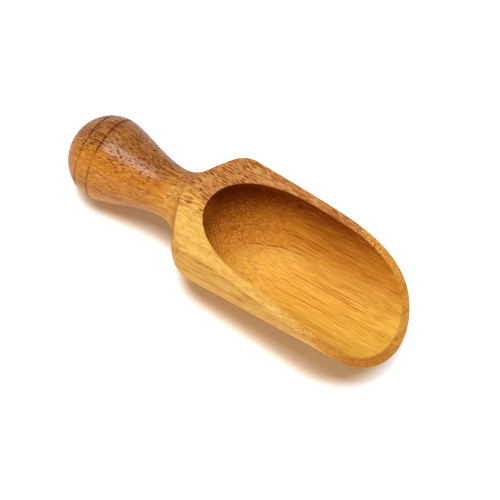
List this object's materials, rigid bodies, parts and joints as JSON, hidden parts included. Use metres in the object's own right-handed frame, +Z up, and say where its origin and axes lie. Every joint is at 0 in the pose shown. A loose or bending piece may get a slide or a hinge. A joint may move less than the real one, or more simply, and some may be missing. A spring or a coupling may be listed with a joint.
{
  "type": "salt scoop",
  "caption": "Small turned wooden scoop for salt: an open round bowl with a sloping rim, on a short waisted handle that ends in a domed, grooved knob.",
  "frame": {"origin": "on the table, under the middle of the scoop's box, with the scoop lying on its bowl and its knob", "axes": "+X from the knob towards the tip, +Z up, the scoop symmetric about the XZ plane"},
  "size_m": [0.1042, 0.036, 0.0248],
  "materials": {
    "bowl_wood": "oiled, satin, open-pored",
    "handle_wood": "oiled, satin, open-pored"
  },
  "bodies": {
    "root": {"bowl": "bowl_wood", "handle": "handle_wood"}
  },
  "joints": []
}
